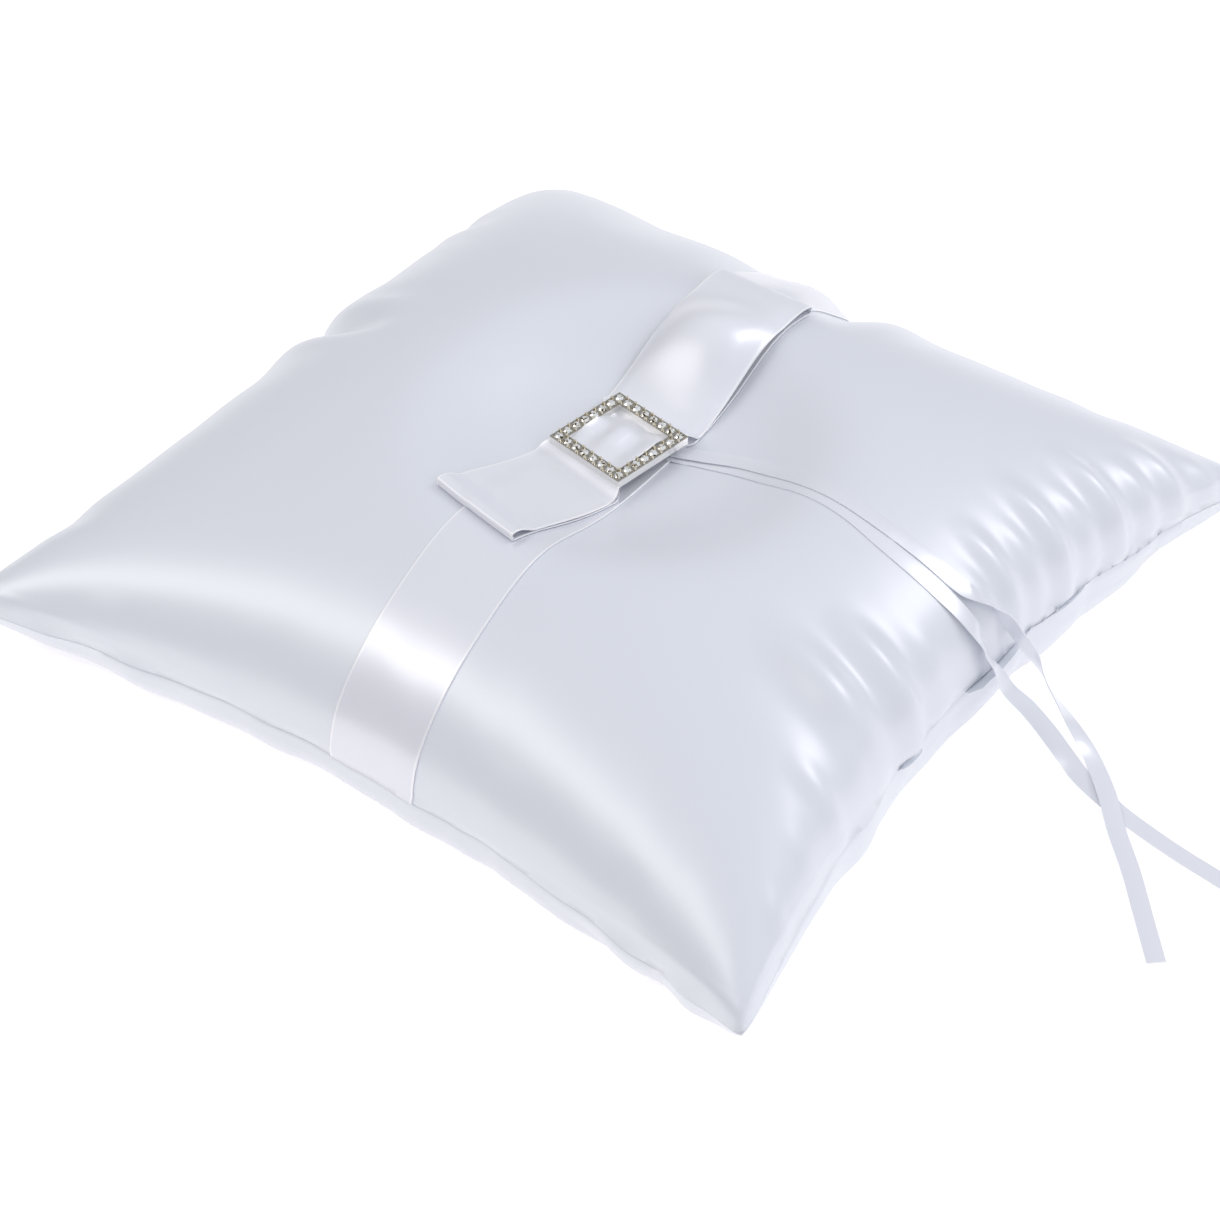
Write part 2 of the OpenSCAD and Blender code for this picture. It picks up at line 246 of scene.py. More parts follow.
def cloth_object(name, middle, thickness, material, uvs):
    """A closed sheet of cloth round a grid of points. thickness may hold one value for each column."""
    rows, cols = middle.shape[:2]
    half = grid_normals(middle) * (np.zeros(cols) + thickness)[None, :, None] / 2
    verts = np.concatenate([(middle + half).reshape(-1, 3), (middle - half).reshape(-1, 3)])
    rim = grid_rim(rows, cols)
    count = rows * cols
    ahead = np.roll(rim, -1)
    edge = np.stack([rim, ahead, ahead + count, rim + count], axis=-1)
    faces = np.concatenate([grid_faces(rows, cols), grid_faces(rows, cols, count, True), edge[:, ::-1]])
    flat = uvs.reshape(-1, 2)
    made = new_object(name, verts, faces, material, np.concatenate([flat, flat]))
    made.data.set_sharp_from_angle(angle=math.radians(60))
    return made


def smooth_run(values, count):
    """Values along a line, each the mean of that many neighbours. The ends are repeated outwards."""
    padded = np.pad(values, count // 2, "edge")
    return np.convolve(padded, np.ones(count) / count, "valid")


def at_reach(line, reach, places):
    """Points of a line at given distances along it."""
    return np.stack([np.interp(places, reach, line[:, k]) for k in range(3)], axis=-1)


def belongs(piece, slot, *nodes):
    """The piece rides on the pillow and stands for those CAD nodes, which are hidden. slot is not used."""
    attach(piece, BODY)
    if nodes:
        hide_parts(*nodes)
    return piece


# ---- form of the cushion ----

def by_side(t, key, low, high):
    """A value of the side that a place lies towards."""
    return np.where(t > 0, SIDES[high][key], SIDES[low][key])


def corner_shares(u, v):
    """Each corner's direction, reach and rise, with the share of them that a place takes."""
    for (to_x, to_y), (out, rise) in CORNERS.items():
        yield to_x, to_y, out, rise, np.clip((1 + to_x * u) * (1 + to_y * v) / 4, 0, 1) ** 8


def plan(u, v):
    """Place on the plan. u and v run from -1 to 1, and each side draws in towards its middle."""
    x = u * (HALF - by_side(u, "pull", "left", "right") * (1 - v * v))
    y = v * (HALF - by_side(v, "pull", "near", "far") * (1 - u * u))
    for to_x, to_y, out, _, share in corner_shares(u, v):
        poke = out * share - CORNER_BLUNT * share**6
        x = x + to_x * poke
        y = y + to_y * poke
    return x, y


def seam_height(u, v):
    """Height of the seam, carried in over the plan."""
    height = SEAM_Z + by_side(u, "rise", "left", "right") * u**4 * (1 - v * v)
    for _, _, _, rise, share in corner_shares(u, v):
        height = height + rise * share
    return height


def profile(t, root):
    """Height of the cushion's section: 1 in the middle and 0 at the seam."""
    return np.maximum(1 - np.abs(t) ** PROFILE_POWER, 0) ** (PROFILE_ROOT + (root - PROFILE_ROOT) * t * t)


def loft(u, v):
    """Share of the full height that the cover reaches over a place."""
    return profile(u, by_side(u, "root", "left", "right")) * profile(v, by_side(v, "root", "near", "far"))


def top_form(u, v):
    """The upper surface, dimpled where the buckle is tacked down."""
    x, y = plan(u, v)
    far = (x * x + y * y) / (2 * DIMPLE_SPREAD**2)
    crown = CROWN - DIMPLE * np.exp(-far * far)
    beside = np.clip((-u - 0.55) / 0.45, 0, 1)
    bulge = LEFT_BULGE * np.sin(math.pi * beside) * profile(v, 0.45)
    return np.stack([x - bulge, y, seam_height(u, v) + crown * loft(u, v)], axis=-1)


def back_form(u, v):
    """The lower surface. The table flattens it, with a soft turn at the edge of the patch that rests."""
    x, y = plan(u, v)
    free = seam_height(u, v) - BACK_DEPTH * loft(u, v)
    turn = 2 * MM
    return np.stack([x, y, turn * np.logaddexp(0, free / turn)], axis=-1)


def cloth_places(form, cells):
    """For even places on the cut square, the u and v of the form where each of them comes to lie."""
    even = np.linspace(-1, 1, cells + 1)
    fine = np.linspace(-1, 1, 801)
    middle = np.zeros_like(fine)
    drawn = []
    for section in (form(fine, middle), form(middle, fine)):
        reach = path_reach(section)
        zero = np.interp(0, fine, reach)
        share = np.where(fine < 0, (reach - zero) / zero, (reach - zero) / (reach[-1] - zero))
        drawn.append(np.interp(even, share, fine))
    s, t = np.meshgrid(even, even, indexing="ij")
    u, v = np.meshgrid(drawn[0], drawn[1], indexing="ij")
    seam_u, seam_v = np.abs(s) ** 4, np.abs(t) ** 4
    return u + (s - u) * seam_v, v + (t - v) * seam_u


# ---- cloth of the cover ----

SIM_SCALE = 10               # the cloth is simulated so many times its size, where it behaves well
SIM_FRAMES = 34
DRAWN_BY = 12                # frame by which the held points have come to their places
TACK_HALF = 9 * MM           # half the width of the patch that is tacked down under the buckle
RESTING_HEIGHT = 0.6 * MM    # the patch that rests on the table lies below this


def sewn(top, back, inner):
    """The points of two panels in one row. They share those of the seam."""
    return np.concatenate([top.reshape(-1, 3), back[inner]])


def cut_panels(rows):
    """The panels as they are cut: flat, but a little puffed and uneven, so that they start to wrinkle."""
    even = np.linspace(-1, 1, rows)
    s, t = np.meshgrid(even, even, indexing="ij")
    puff = 8 * MM * np.cos(s * math.pi / 2) * np.cos(t * math.pi / 2)
    uneven = np.random.default_rng(7).normal(0, 0.1 * MM, s.shape)
    heights = (SEAM_Z + puff + uneven, SEAM_Z - puff + uneven)
    return [np.stack([s * CUT_HALF, t * CUT_HALF, height], axis=-1) for height in heights]


def hold(cloth, held, places):
    """Draws the held points of the cloth from the flat cut to their places, over the first frames."""
    cloth.shape_key_add(name="cut")
    drawn = cloth.shape_key_add(name="drawn")
    drawn.data.foreach_set("co", places.ravel())
    for value, number in ((0, 1), (1, DRAWN_BY)):
        drawn.value = value
        drawn.keyframe_insert("value", frame=number)
    cloth.vertex_groups.new(name="held").add([int(i) for i in set(held)], 1.0, "REPLACE")


def stuff(cloth):
    """Makes it soft satin that the filling presses out."""
    modifier = cloth.modifiers.new("cloth", "CLOTH")
    settings = modifier.settings
    settings.vertex_group_mass = "held"
    settings.pin_stiffness = 50
    settings.quality = 6
    settings.mass = 0.1
    settings.tension_stiffness = 40
    settings.compression_stiffness = 40
    settings.shear_stiffness = 15
    settings.bending_stiffness = 0.1
    settings.tension_damping = 5
    settings.compression_damping = 5
    settings.shear_damping = 5
    settings.air_damping = 3
    settings.use_pressure = True
    settings.uniform_pressure_force = 4
    settings.effector_weights.gravity = 0
    modifier.collision_settings.use_collision = False
    modifier.point_cache.frame_end = SIM_FRAMES


def settled(cloth):
    """The cloth's points once the simulation has run. The simulated object is then removed."""
    for number in range(1, SIM_FRAMES + 1):
        bpy.context.scene.frame_set(number)
    result = cloth.evaluated_get(bpy.context.evaluated_depsgraph_get()).to_mesh()
    points = np.empty(len(result.vertices) * 3)
    result.vertices.foreach_get("co", points)
    bpy.data.objects.remove(cloth)
    bpy.context.scene.frame_set(1)
    return points.reshape(-1, 3) / SIM_SCALE


def simulated_cover(top, back):
    """The two panels as sewn cloth, puffed out by the fill until they wrinkle.

    The cloth starts flat, as it was cut. The seam, the tacked middle and the patch on the table are then
    drawn to their places, and what cloth is left over gathers.
    """
    rows = len(top)
    number_top = np.arange(rows * rows).reshape(rows, rows)
    inner = np.zeros((rows, rows), bool)
    inner[1:-1, 1:-1] = True
    number_back = number_top.copy()
    number_back[inner] = rows * rows + np.arange(inner.sum())
    quads = grid_faces(rows, rows)
    faces = np.concatenate([quads, number_back.ravel()[quads][:, ::-1]])
    start = sewn(*cut_panels(rows), inner) * SIM_SCALE
    cloth = new_object("simulated_cover", start, faces, bpy.data.materials.new("plain"))
    tacked = np.hypot(top[..., 0] - BUCKLE.x, top[..., 1] - BUCKLE.y) < TACK_HALF
    resting = inner & (back[..., 2] < RESTING_HEIGHT)
    held = np.concatenate([number_top[~inner], number_top[tacked], number_back[resting]])
    hold(cloth, held, sewn(top, back, inner) * SIM_SCALE)
    stuff(cloth)
    points = settled(cloth)
    return points[number_top], points[number_back]


# How much of the simulated wrinkles each panel keeps beside each seam.
TOP_WRINKLES = {"near": 0.12, "right": 0.18, "far": 0.15, "left": 0.2}
BACK_WRINKLES = {"near": 0.3, "right": 0.25, "far": 0.4, "left": 0.4}


def relief(points, form):
    """The wrinkles alone: the cloth's shift from the form, less its broad part."""
    shift = points - form
    return smoothed(shift, 1) - smoothed(shift, 6)


def side_share(u, v, side):
    """Weight that is 1 beside that seam and fades towards the middle."""
    along, across = {"near": (u, -v), "far": (u, v), "left": (v, -u), "right": (v, u)}[side]
    return ease(across, 0.25, 0.85) * (0.35 + 0.65 * (1 - along**2))


# Folds that run in from each seam, listed in millimetres: place along it, how far in they reach, how
# far from the seam they start, width and height. The +X edge was gathered when its turning gap was sewn up.
TOP_FOLDS = {
    "right": [
        (-79, 7, 2, 3.4, 0.5), (-66, 8, 1, 3.5, 0.3), (-54, 13, 0, 3.6, 0.7), (-43, 10, 0, 3.4, 0.3),
        (-35, 29, 10, 7.0, 2.6), (-23, 20, 0, 5.5, 2.4), (-11, 10, 0, 4.4, 0.5), (2, 9, 0, 3.8, 0.5),
        (10, 10, 0, 3.6, 0.8), (18, 17, 0, 3.8, 1.3), (27, 12, 0, 3.4, 0.7), (36, 19, 0, 4.2, 1.7),
        (46, 12, 0, 3.2, 0.6), (55, 19, 0, 4.4, 1.9), (66, 13, 0, 3.6, 0.8), (75, 15, 0, 4.2, 1.3),
        (86, 9, 0, 3.4, 0.5),
    ],
    "left": [
        (-77, 12, 0, 6, -0.6), (-12, 14, 0, 8, 0.6), (-2, 24, 0, 6, -3.4), (12, 16, 0, 8, 0.7),
        (53, 14, 0, 6, -0.9),
    ],
    "far": [(-52, 26, 0, 20, -0.9), (-19, 26, 0, 13, -1.2), (5, 26, 0, 9, -3.4), (66, 12, 0, 6, -0.4)],
    "near": [(-72, 6, 0, 6, 0.3), (-34, 6, 0, 7, -0.3), (30, 7, 0, 7, 0.3), (64, 7, 0, 6, -0.3)],
}
BACK_FOLDS = {
    "near": [
        (-84, 9, 0, 8, 0.5), (-62, 10, 0, 9, 0.8), (-38, 8, 0, 8, -0.5), (-18, 10, 0, 9, -0.6),
        (10, 9, 0, 8, 0.6), (29, 8, 0, 5, -0.5), (50, 12, 0, 12, 0.7), (68, 10, 0, 9, 1.2),
        (84, 9, 0, 6, 0.9),
    ],
    "right": [
        (-62, 12, 0, 10, 0.1), (-42, 12, 0, 9, 1.2), (-21, 12, 0, 9, -0.3), (-4, 12, 0, 8, -0.1),
        (10, 14, 0, 13, 0.8), (34, 14, 0, 14, 1.2), (58, 14, 0, 14, 1.1), (22, 8, 0, 4, -0.3),
        (45, 8, 0, 4, -0.3), (69, 8, 0, 4, -0.3),
    ],
    "left": [
        (-60, 12, 0, 9, 0.7), (-20, 12, 0, 9, 0.6), (25, 12, 0, 9, 0.7), (65, 12, 0, 9, 0.6),
    ],
    "far": [
        (-65, 12, 0, 9, 0.6), (-25, 12, 0, 9, 0.7), (15, 12, 0, 9, 0.6), (58, 12, 0, 9, 0.7),
    ],
}


def seam_folds(points, sides):
    """Height of the listed folds over each point of a panel's grid."""
    height = np.zeros(points.shape[:2])
    for side, folds in sides.items():
        grid = points if side in ("left", "right") else np.swapaxes(points, 0, 1)
        across, along = (0, 1) if side in ("left", "right") else (1, 0)
        edge = grid[-1] if side in ("right", "far") else grid[0]
        order = np.argsort(edge[:, along])
        line = np.interp(grid[..., along], edge[order, along], edge[order, across])
        inward = np.abs(line - grid[..., across]) / MM
        drop = np.maximum(0, edge[None, :, 2] + 16 * MM - grid[..., 2]) / MM
        inward = inward + 0.15 * drop
        ridges = np.zeros(grid.shape[:2])
        for place, reach, start, width, size in folds:
            beside = (grid[..., along] / MM - place - 0.12 * (inward - start)) / width
            ridge = (1 - beside**2) * np.exp(-(beside**2) / 1.1)
            length = ease(inward, reach * 1.25, reach * 0.45) * (0.15 + 0.85 * ease(inward, 0, start + 3))
            ridges += size * MM * ridge * length
        height += ridges if side in ("left", "right") else ridges.T
    return height


def cover_points(form_of, wrinkled, weights, folds):
    """Fine grid of one panel: its form, a share of the simulated wrinkles by each seam, and the folds."""
    u, v = cloth_places(form_of, COVER_CELLS)
    form = form_of(u, v)
    share = sum(weight * side_share(u, v, side) for side, weight in weights.items())
    shaped = finer(form + relief(wrinkled, form) * share[..., None])
    return shaped + grid_normals(shaped) * seam_folds(shaped, folds)[..., None]


def with_lips(points, mouth):
    """The panel with its edge turned in at the seam, narrower towards the corners.

    mouth is how far this panel's edge stands from the seam, and it is negative for the back.
    """
    edge = np.abs(np.linspace(-1, 1, len(points))) ** 30
    points = points + np.maximum(edge[:, None], edge[None, :])[..., None] * [0, 0, mouth]
    for _ in range(2):
        ends = []
        for end, inside in ((points[0], points[6]), (points[-1], points[-7])):
            outward = unit((end - inside) * [1, 1, 0])
            from_corner = 1 - np.abs(np.linspace(-1, 1, len(end)))
            inward = -outward * np.clip(20 * from_corner, 0.08, 1)[:, None]
            closing = [[0, 0, -mouth * (1 - share)] for share in LIP_OPEN]
            ends.append(np.array([end + inward * depth + drop for depth, drop in zip(LIP, closing)]))
        points = np.swapaxes(np.concatenate([ends[0], points, ends[1][::-1]]), 0, 1)
    return points


def cut_places():
    """Where each point of a panel's fine grid and of its lips lies on the flat cut, for the weave."""
    even = np.linspace(-CUT_HALF, CUT_HALF, 2 * COVER_CELLS + 1)
    even = np.concatenate([-CUT_HALF - LIP, even, CUT_HALF + LIP[::-1]])
    return np.stack(np.meshgrid(even, even, indexing="ij"), axis=-1)


def at_places(points, s, t):
    """Points of a panel's grid at shares s and t of its half width, from -1 to 1."""
    last = len(points) - 1
    column, row = (s + 1) / 2 * last, (t + 1) / 2 * last
    i, j = np.clip(column.astype(int), 0, last - 1), np.clip(row.astype(int), 0, last - 1)
    a, b = (column - i)[..., None], (row - j)[..., None]
    return ((1 - a) * (1 - b) * points[i, j] + a * (1 - b) * points[i + 1, j]
            + (1 - a) * b * points[i, j + 1] + a * b * points[i + 1, j + 1])


# ---- ribbons ----

def tape_uvs(line_reach, across):
    """Where each point of a ribbon lies on the flat ribbon."""
    return np.stack(np.meshgrid(line_reach, across, indexing="ij"), axis=-1)


def band_middle(cover):
    """Grid of the band's middle surface, laid on the cover from seam to seam."""
    rows = []
    for line in np.swapaxes(cover, 0, 1)[:, LIPS:-LIPS]:
        y = line[len(line) // 2, 1]
        centre = BAND_X + 2.8 * MM * ease(-y, 20 * MM, 90 * MM) - 3.2 * MM * ease(y, 5 * MM, 60 * MM)
        rows.append(at_reach(line, line[:, 0], centre + WIDE_SHARES * BAND_HALF))
    return np.array(rows)


def height_finder(*objects):
    """A function that gives the height of the topmost of some objects over a place, or a floor of 0."""
    trees = []
    for piece in objects:
        verts = [v.co for v in piece.data.vertices]
        polygons = [p.vertices for p in piece.data.polygons]
        trees.append(BVHTree.FromPolygons(verts, polygons))

    def height(x, y):
        """Height of the highest surface over a place."""
        hits = [tree.ray_cast(Vector((x, y, 1)), Vector((0, 0, -1)))[0] for tree in trees]
        return max([hit.z for hit in hits if hit is not None], default=0.0)

    return height


def bow_place(reach):
    """Plan position of the bow's centre line and its direction across, at a distance from the buckle."""
    share = float(ease(reach, -9 * MM, 9 * MM))
    turn = math.radians(NEAR_LOOP["turn"] + (FAR_LOOP["turn"] - NEAR_LOOP["turn"]) * share)
    along = np.array([-math.sin(turn), math.cos(turn)])
    middle = np.array([BUCKLE.x, BUCKLE.y]) + reach * along
    return middle, np.array([along[1], -along[0]])


def bow_middle(height):
    """Grid of the bow's middle surface: far sole, far loop, over the buckle's bar, near loop and sole."""
    share = WIDE_SHARES

    def half_width(reach):
        """The ribbon is pinched where it passes through the buckle."""
        return BOW_HALF * (1 - 0.34 * (1 - ease(abs(reach), 6 * MM, 12 * MM)))

    def sole(reach):
        """Heights across the layer that lies on the band. The ribbon is too stiff to follow it fully."""
        middle, across = bow_place(reach)
        spots = middle + across * (share * half_width(reach))[:, None]
        under = np.array([height(*spot) for spot in spots])
        return 0.85 * under + 0.15 * under.max() + 0.3 * MM

    def upper(reach):
        """Heights across the top layer: pleated in the buckle, humped beyond it and open at its end."""
        size = abs(reach)
        pleats = 0.7 * MM * np.cos(share * 6 + 0.6) * bump(reach, 0, 7 * MM)
        inside = BAR_TOP + 0.6 * MM - 1.3 * MM * ease(size, 2 * MM, 7 * MM) + pleats
        loop = FAR_LOOP if reach > 0 else NEAR_LOOP
        arched = bump(size, loop["hump_at"] + loop["lean"] * share, loop["spread"]) * (1 - 0.75 * share**2)
        dented = bump(size, 15 * MM, 4 * MM) * bump(share, 0.4, 0.6)
        parted = ease(size, loop["length"] - loop["parting"], loop["length"] - 2 * MM)
        above_sole = LAYER + (FOLD_RADIUS * 2 - LAYER) * parted
        outside = sole(reach) + above_sole + loop["hump"] * arched - loop["dent"] * dented
        return inside + (outside - inside) * ease(size, 9.5 * MM, 14 * MM)

    def fold(end, turns):
        """Places and heights round the fold at a loop's end."""
        for turn in turns:
            angle = math.radians(turn)
            out = FOLD_RADIUS * math.sin(angle) - FOLD_CREASE * bump(turn, 90, 16)
            yield end + math.copysign(out, end), sole(end) + FOLD_RADIUS * (1 - math.cos(angle))

    far_end, near_end = FAR_LOOP["length"] - FOLD_RADIUS, FOLD_RADIUS - NEAR_LOOP["length"]
    step = 0.7 * MM
    stations = [(reach, sole(reach)) for reach in np.arange(4 * MM, far_end, step)]
    stations += fold(far_end, range(10, 180, 10))
    stations += [(reach, upper(reach)) for reach in np.arange(far_end, near_end, -step)]
    stations += fold(near_end, range(170, 0, -10))
    stations += [(reach, sole(reach)) for reach in np.arange(near_end, -4 * MM, step)]
    rows = []
    for reach, heights in stations:
        middle, across = bow_place(reach)
        rows.append(np.column_stack([middle + across * (share * half_width(reach))[:, None], heights]))
    return np.array(rows)


def tape_middle(line, turns, half, columns=7, cup=0.1 * MM):
    """Grid of a narrow ribbon's middle surface, its edges a little down and turned out of the level."""
    run = unit(np.gradient(line, axis=0))
    level = unit(np.cross([0, 0, 1], run))
    rise = np.cross(run, level)
    turn = np.radians(turns)[:, None]
    across = level * np.cos(turn) + rise * np.sin(turn)
    face = rise * np.cos(turn) - level * np.sin(turn)
    share = np.linspace(-1, 1, columns)
    return (line[:, None, :] + across[:, None, :] * (share * half)[None, :, None]
            - face[:, None, :] * (cup * share**2)[None, :, None])


# ---- materials ----

def new_material(name):
    """A material with its node tree and its shader."""
    material = bpy.data.materials.new(name)
    material.use_nodes = True
    return material, material.node_tree, material.node_tree.nodes["Principled BSDF"]


def thread_relief(tree, place, grain):
    """The surface's direction, roughened by fine threads along the cloth."""
    flecks_per_metre = (350, 3500, 1)
    stretch = tree.nodes.new("ShaderNodeMapping")
    stretch.inputs["Scale"].default_value = flecks_per_metre
    tree.links.new(place, stretch.inputs["Vector"])
    threads = tree.nodes.new("ShaderNodeTexNoise")
    threads.inputs["Scale"].default_value = 1
    threads.inputs["Detail"].default_value = 2
    tree.links.new(stretch.outputs["Vector"], threads.inputs["Vector"])
    raised = tree.nodes.new("ShaderNodeBump")
    raised.inputs["Strength"].default_value = 0.12 * grain
    raised.inputs["Distance"].default_value = 0.05 * MM
    tree.links.new(threads.outputs["Fac"], raised.inputs["Height"])
    return raised.outputs["Normal"]


def with_painted_edge_highlight(tree, place, colour, half):
    """A ribbon's colour, with a painted highlight: paler beyond the inner edge of its beads."""
    split = tree.nodes.new("ShaderNodeSeparateXYZ")
    distance = tree.nodes.new("ShaderNodeMath")
    distance.operation = "ABSOLUTE"
    beyond = tree.nodes.new("ShaderNodeMath")
    beyond.operation = "GREATER_THAN"
    beyond.inputs[1].default_value = half * BEAD[0]
    edge = tree.nodes.new("ShaderNodeMix")
    edge.data_type = "RGBA"
    edge.inputs["A"].default_value = (*colour, 1)
    # painted highlight: the selvedge beads are coloured near white
    edge.inputs["B"].default_value = (0.97, 0.97, 1.0, 1)
    tree.links.new(place, split.inputs["Vector"])
    tree.links.new(split.outputs["Y"], distance.inputs[0])
    tree.links.new(distance.outputs["Value"], beyond.inputs[0])
    tree.links.new(beyond.outputs["Value"], edge.inputs["Factor"])
    return edge.outputs["Result"]


def satin(name, colour, roughness, lustre, grain, half=None):
    """Woven satin whose gloss runs along the cloth. Half its width is given for a ribbon whose selvedge
    beads get a painted highlight.
    """
    material, tree, shader = new_material(name)
    place = tree.nodes.new("ShaderNodeTexCoord").outputs["UV"]
    tree.links.new(thread_relief(tree, place, grain), shader.inputs["Normal"])
    tangent = tree.nodes.new("ShaderNodeTangent")
    tangent.direction_type = "UV_MAP"
    tangent.uv_map = "cloth"
    tree.links.new(tangent.outputs["Tangent"], shader.inputs["Tangent"])
    shader.inputs["Base Color"].default_value = (*colour, 1)
    if half:
        tree.links.new(with_painted_edge_highlight(tree, place, colour, half), shader.inputs["Base Color"])
    shader.inputs["Roughness"].default_value = roughness
    shader.inputs["Metallic"].default_value = lustre
    shader.inputs["Anisotropic"].default_value = 0.3
    shader.inputs["Specular IOR Level"].default_value = 0.8
    shader.inputs["Sheen Weight"].default_value = 0.1
    return material


def plain(name, colour, roughness):
    """One matt colour."""
    material, _, shader = new_material(name)
    shader.inputs["Base Color"].default_value = (*colour, 1)
    shader.inputs["Roughness"].default_value = roughness
    return material


def stepped_ramp(tree, first, *steps):
    """A ramp of flat colours: the first one, then each step's position and colour."""
    ramp = tree.nodes.new("ShaderNodeValToRGB")
    ramp.color_ramp.interpolation = "CONSTANT"
    elements = ramp.color_ramp.elements
    elements[0].color = (*first, 1)
    elements.remove(elements[1])
    for position, colour in steps:
        elements.new(position).color = (*colour, 1)
    return ramp


def buckle_metal():
    """Bright cast metal whose stone-set top has painted shade between the claws."""
    material, tree, shader = new_material("silver")
    place = tree.nodes.new("ShaderNodeTexCoord")
    split = tree.nodes.new("ShaderNodeSeparateXYZ")
    span = tree.nodes.new("ShaderNodeMapRange")
    span.inputs["From Min"].default_value = BUCKLE_LOW.z
    span.inputs["From Max"].default_value = BUCKLE_HIGH.z
    height = BUCKLE_HIGH.z - BUCKLE_LOW.z
    # the dark step at the stones' seat is painted shade between the stones
    ramp = stepped_ramp(tree, (0.86, 0.85, 0.82), (1.75 * MM / height, (0.42, 0.39, 0.33)),
                        (2.06 * MM / height, (0.86, 0.80, 0.66)))
    tree.links.new(place.outputs["Object"], split.inputs["Vector"])
    tree.links.new(split.outputs["Z"], span.inputs["Value"])
    tree.links.new(span.outputs["Result"], ramp.inputs["Fac"])
    tree.links.new(ramp.outputs["Color"], shader.inputs["Base Color"])
    shader.inputs["Metallic"].default_value = 1.0
    shader.inputs["Roughness"].default_value = 0.18
    return material


def stone():
    """Cut glass over foil, drawn with painted glints and painted dark reflections: white, gold and near
    black by patches.
    """
    material, tree, shader = new_material("stone")
    place = tree.nodes.new("ShaderNodeTexCoord")
    painted_glints = tree.nodes.new("ShaderNodeTexNoise")
    painted_glints.inputs["Scale"].default_value = 1700
    painted_glints.inputs["Detail"].default_value = 1
    # painted glints and painted dark reflections, fixed on the stones
    ramp = stepped_ramp(tree, (0.05, 0.045, 0.035), (0.37, (0.55, 0.47, 0.32)), (0.43, (0.93, 0.93, 0.92)))
    tree.links.new(place.outputs["Object"], painted_glints.inputs["Vector"])
    tree.links.new(painted_glints.outputs["Fac"], ramp.inputs["Fac"])
    tree.links.new(ramp.outputs["Color"], shader.inputs["Base Color"])
    shader.inputs["Metallic"].default_value = 0.8
    shader.inputs["Roughness"].default_value = 0.06
    return material


SATIN = satin("cover_satin", (0.80, 0.825, 0.885), 0.37, 0.12, 1.0)
BAND_SATIN = satin("band_satin", (0.85, 0.86, 0.925), 0.26, 0.2, 0.7, BAND_HALF)
# the bow is the band's ribbon, made paler here: painted brightness for the light on its loops
BOW_SATIN = satin("bow_satin", (0.885, 0.895, 0.955), 0.33, 0.2, 0.7, BOW_HALF)
TAIL_SATIN = satin("tail_satin", (0.85, 0.865, 0.925), 0.28, 0.2, 0.7)
THREAD = plain("thread", (0.78, 0.80, 0.86), 0.6)
FIBRE = plain("fibre", (0.85, 0.85, 0.85), 0.9)
SILVER = buckle_metal()
STONE = stone()


# ---- pieces ----

def make_cover():
    """The two panels of the cover, sewn together all round. Gives the upper one and the grids of both."""
    top_start = top_form(*cloth_places(top_form, COVER_CELLS))
    back_start = back_form(*cloth_places(back_form, COVER_CELLS))
    top_wrinkled, back_wrinkled = simulated_cover(top_start, back_start)
    downward = {side: [(*fold[:4], -fold[4]) for fold in folds] for side, folds in BACK_FOLDS.items()}
    top = cover_points(top_form, top_wrinkled, TOP_WRINKLES, TOP_FOLDS)
    back = cover_points(back_form, back_wrinkled, BACK_WRINKLES, downward)
    top[0], top[-1], top[:, 0], top[:, -1] = back[0], back[-1], back[:, 0], back[:, -1]
    back[..., 2] = np.maximum(back[..., 2], 0.25 * MM)
    top = with_lips(top, SEAM_MOUTH)
    back = with_lips(back, -SEAM_MOUTH)
    cover = cloth_object("cover_top", top, CLOTH, SATIN, cut_places())
    under = cloth_object("cover_back", back[::-1], CLOTH, SATIN, cut_places()[::-1])
    belongs(cover, "satin", "top_panel")
    belongs(under, "satin", "back_panel")
    return cover, top, back


def make_fill(top, back):
    """Fibre stuffing: a lumpy mass just inside the cover, with a channel for the tack thread.

    It is built of rings: outwards under the top panel, back inwards over the lower one, and up the channel.
    """
    count = 96
    angles = np.linspace(0, 2 * math.pi, count, endpoint=False)
    round_way = np.stack([np.cos(angles), np.sin(angles)])
    square_way = round_way / np.abs(round_way).max(axis=0)
    channel, rim = 3.2 * MM / HALF, 0.955
    below_cloth = 1.4 * MM
    shares = channel + (rim - channel) * np.sin(np.linspace(0, math.pi / 2, 30))
    lumps = np.random.default_rng(3).normal(0, 0.35 * MM, (2 * len(shares), count))
    lumps = sum(np.roll(lumps, shift, axis=1) for shift in range(-2, 3)) / 3
    rings = []
    for panel, order, inward in ((top, shares, -1), (back, shares[::-1], 1)):
        normals = grid_normals(panel)
        for share in order:
            s, t = share * (round_way + (square_way - round_way) * share)
            depth = below_cloth + np.abs(lumps[len(rings)])
            rings.append(at_places(panel, s, t) + inward * at_places(normals, s, t) * depth[:, None])
    highest, lowest = rings[0], rings[-1]
    rings += [lowest + (highest - lowest) * share for share in np.linspace(0, 1, 8)[1:-1]]
    ring, place = np.meshgrid(np.arange(len(rings)), np.arange(count), indexing="ij")
    next_ring, next_place = (ring + 1) % len(rings), (place + 1) % count
    corners = [(ring, place), (next_ring, place), (next_ring, next_place), (ring, next_place)]
    faces = np.stack([a * count + b for a, b in corners], axis=-1).reshape(-1, 4)
    fill = new_object("stuffing", np.concatenate(rings), faces, FIBRE)
    belongs(fill, "fibre", "fibre_fill")


